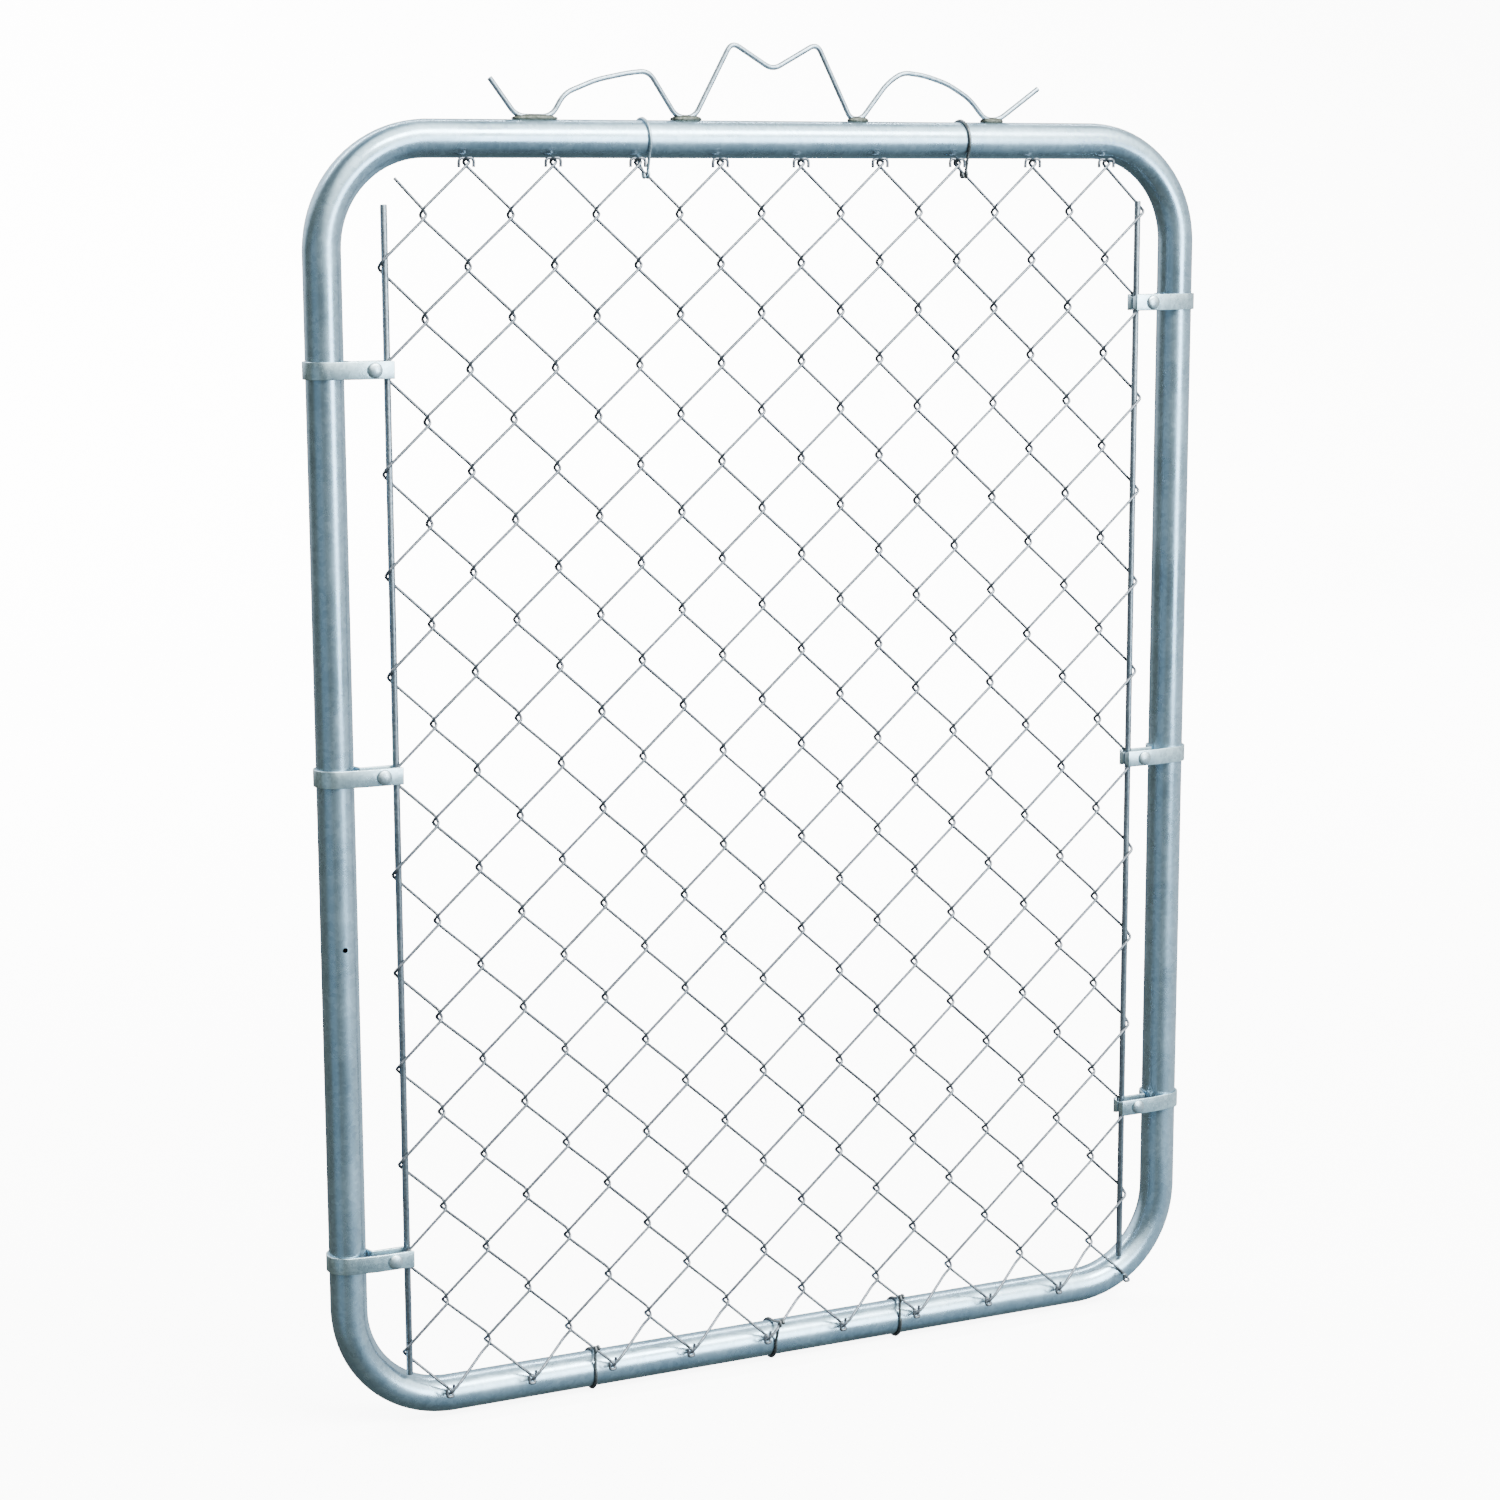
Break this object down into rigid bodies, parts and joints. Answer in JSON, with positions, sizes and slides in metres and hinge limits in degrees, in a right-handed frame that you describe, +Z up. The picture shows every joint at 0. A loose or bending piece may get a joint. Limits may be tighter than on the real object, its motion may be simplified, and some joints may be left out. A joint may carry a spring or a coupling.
{
  "type": "chain link gate",
  "caption": "Walk gate leaf: bent round steel tube with rounded corners, filled with woven chain link fabric and topped with a scroll of bent wire.",
  "frame": {"origin": "on the axis of the left upright, at the lower hinge seat, 230 mm above the middle of the bottom rail", "axes": "+X across the leaf from the left upright to the right one, +Y from the fabric side to the back, +Z up"},
  "size_m": [0.9353, 0.0539, 1.2943],
  "materials": {
    "frame_tube": "galvanised, satin",
    "fabric_wire": "galvanised wire",
    "tension_rod": "galvanised, satin",
    "band_strip": "galvanised sheet steel",
    "tie_wire": "galvanised wire",
    "scroll_wire": "galvanised, satin"
  },
  "bodies": {
    "root": {"left_stile": "frame_tube", "right_stile": "frame_tube", "top_rail": "frame_tube", "bottom_rail": "frame_tube", "corner_bends": "frame_tube", "chain_link_fabric": "fabric_wire", "left_tension_rod": "tension_rod", "right_tension_rod": "tension_rod", "band_left_upper": "band_strip", "band_left_middle": "band_strip", "band_left_lower": "band_strip", "band_right_upper": "band_strip", "band_right_middle": "band_strip", "band_right_lower": "band_strip", "tie_top_left": "tie_wire", "tie_top_right": "tie_wire", "tie_bottom_left": "tie_wire", "tie_bottom_middle": "tie_wire", "tie_bottom_right": "tie_wire", "top_scroll": "scroll_wire"}
  },
  "joints": []
}
